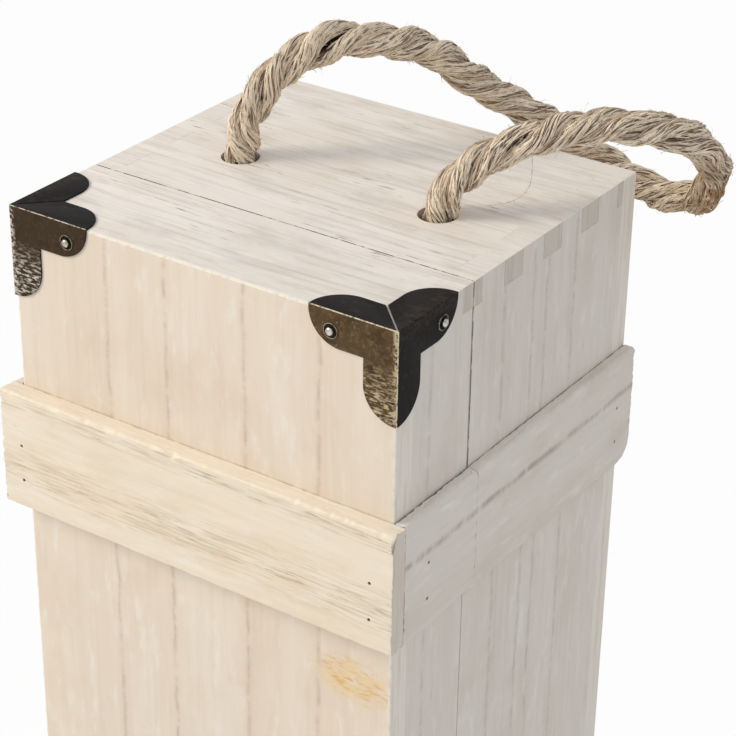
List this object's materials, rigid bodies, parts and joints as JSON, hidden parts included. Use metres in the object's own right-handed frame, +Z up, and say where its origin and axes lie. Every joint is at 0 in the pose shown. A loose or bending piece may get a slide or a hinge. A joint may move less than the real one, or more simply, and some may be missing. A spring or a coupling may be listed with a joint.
{
  "type": "hurricane candle lantern",
  "caption": "Tall whitewashed wooden candle lantern: a sawn-open box with a hinged front door, glazed windows, trim bands, metal corner brackets and a thick jute rope handle.",
  "frame": {"origin": "centre of the case's footprint, on the surface that it stands on", "axes": "+Z up, the door faces -Y, +X to the right of someone facing the door"},
  "size_m": [0.1936, 0.1765, 0.5267],
  "materials": {
    "whitewashed_boards": "whitewashed light softwood, thin milky coat over the grain, matt",
    "whitewashed_trim": "rough-sawn light softwood, whitewashed, with bare edges",
    "window_glass": "clear float glass",
    "antique_bracket_metal": "darkened antique bronze plate with worn bright edges",
    "antique_hardware_metal": "darkened antique bronze plate",
    "fastener_metal": "burnished steel heads",
    "brad_steel": "dull steel, sunk under the surface",
    "blackened_iron": "blackened sheet iron",
    "candle_wax": "ivory wax",
    "cotton_wick": "braided cotton",
    "jute_rope": "three-strand laid jute rope, hairy"
  },
  "bodies": {
    "case": {"back_panel": "whitewashed_boards", "left_side_panel": "whitewashed_boards", "right_side_panel": "whitewashed_boards", "top_panel": "whitewashed_boards", "bottom_panel": "whitewashed_boards", "upper_band_left": "whitewashed_trim", "upper_band_right": "whitewashed_trim", "base_band_left": "whitewashed_trim", "base_band_right": "whitewashed_trim", "left_window_beads": "whitewashed_trim", "right_window_beads": "whitewashed_trim", "left_window_glass": "window_glass", "right_window_glass": "window_glass", "upper_hinge_case_leaf": "antique_hardware_metal", "lower_hinge_case_leaf": "antique_hardware_metal", "latch_keeper": "antique_hardware_metal", "hinge_case_screws": "fastener_metal", "latch_keeper_screws": "fastener_metal", "case_band_brads": "brad_steel", "candle_pan": "blackened_iron", "candle_pan_screws": "fastener_metal", "rope_handle": "jute_rope", "rope_knot_left": "jute_rope", "rope_knot_right": "jute_rope"},
    "door": {"front_panel": "whitewashed_boards", "door_left_board": "whitewashed_boards", "door_right_board": "whitewashed_boards", "door_top_board": "whitewashed_boards", "door_bottom_board": "whitewashed_boards", "upper_band_front": "whitewashed_trim", "upper_band_door_left": "whitewashed_trim", "upper_band_door_right": "whitewashed_trim", "base_band_front": "whitewashed_trim", "base_band_door_left": "whitewashed_trim", "base_band_door_right": "whitewashed_trim", "door_band_brads": "brad_steel", "front_window_glass": "window_glass", "front_window_beads": "whitewashed_trim", "corner_bracket_left": "antique_bracket_metal", "corner_bracket_right": "antique_bracket_metal", "corner_bracket_nails": "fastener_metal", "upper_hinge_door_leaf": "antique_hardware_metal", "lower_hinge_door_leaf": "antique_hardware_metal", "upper_hinge_pin": "antique_hardware_metal", "lower_hinge_pin": "antique_hardware_metal", "hinge_door_screws": "fastener_metal", "latch_plate": "antique_hardware_metal", "latch_plate_screws": "fastener_metal"},
    "latch": {"latch_hook": "antique_hardware_metal"},
    "candle": {"candle": "candle_wax", "candle_wick": "cotton_wick"}
  },
  "joints": [
    {"name": "door_hinge", "type": "hinge", "parent": "case", "child": "door", "pos_m": [-0.0825, -0.0306, 0], "axis": [0, 0, -1], "range_deg": [0, 170]},
    {"name": "latch_pivot", "type": "hinge", "parent": "door", "child": "latch", "pos_m": [0.077, -0.039, 0.262], "axis": [1, 0, 0], "range_deg": [-80, 40]},
    {"name": "candle_lift", "type": "slide", "parent": "case", "child": "candle", "axis": [0, 0, 1], "range_m": [0, 0.06]}
  ]
}
